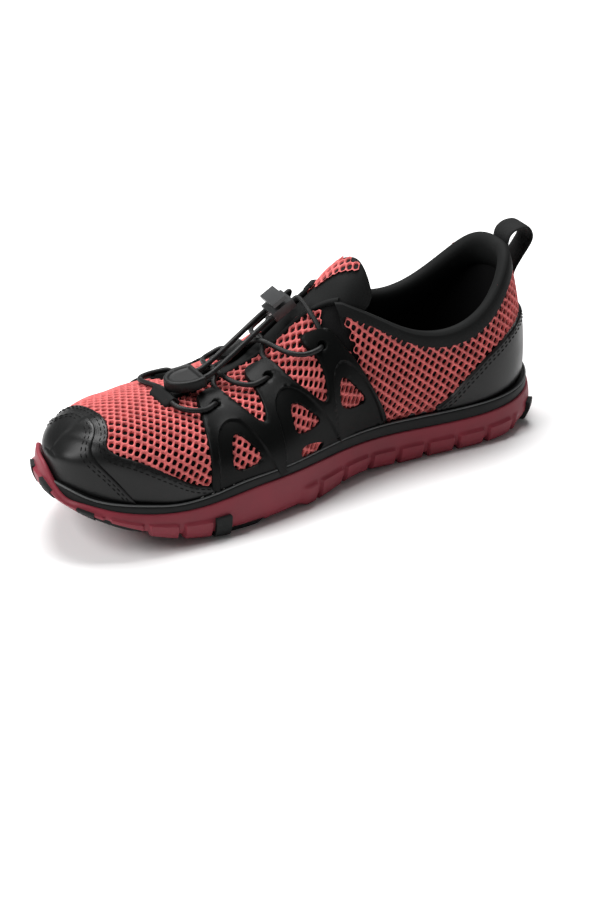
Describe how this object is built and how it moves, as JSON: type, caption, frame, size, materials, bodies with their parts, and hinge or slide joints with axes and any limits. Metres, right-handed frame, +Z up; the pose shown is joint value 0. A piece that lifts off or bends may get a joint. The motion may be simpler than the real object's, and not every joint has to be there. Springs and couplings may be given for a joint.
{
  "type": "barefoot sneaker",
  "caption": "Low barefoot trail sneaker for the right foot: thin flexible lugged sole, wide toe box, mesh upper with zigzag eyelet straps and an elastic lace held by a push-button lock.",
  "frame": {"origin": "middle of the bounding box on the floor under the sole", "axes": "+X to the toe, +Y to the medial side, +Z up"},
  "size_m": [0.2779, 0.1052, 0.0992],
  "materials": {
    "red_rubber": "matt moulded rubber",
    "black_rubber": "grained moulded rubber",
    "black_foam": "matt closed-cell foam",
    "pale_board": "pale perforated board",
    "coral_mesh": "open knitted mesh over a black lining",
    "black_leather": "smooth synthetic leather",
    "black_moulded": "satin moulded urethane",
    "black_cloth": "woven cloth",
    "black_cord": "braided elastic cord",
    "grey_plastic": "satin moulded plastic"
  },
  "bodies": {
    "shoe": {"outsole": "red_rubber", "tread_forefoot": "black_rubber", "tread_heel": "black_rubber", "midsole": "black_foam", "insole": "pale_board", "upper": "coral_mesh", "toe_cap": "black_leather", "heel_counter": "black_leather", "overlay_medial": "black_moulded", "overlay_lateral": "black_moulded", "tongue": "black_cloth", "pull_loop": "black_cloth", "lace_bar": "black_cord", "lace_cross_1": "black_cord", "lace_cross_2": "black_cord", "lace_rise_medial": "black_cord", "lace_rise_lateral": "black_cord", "lace_end_medial": "black_cord", "lace_end_lateral": "black_cord", "lace_end_clip": "black_moulded", "lock_body": "grey_plastic"},
    "lock_button": {"lock_button": "grey_plastic"}
  },
  "joints": [
    {"name": "lock_press", "type": "slide", "parent": "shoe", "child": "lock_button", "axis": [-0.5, 0, -0.866], "range_m": [0, 0.002], "stiffness_N_per_m": 800}
  ]
}
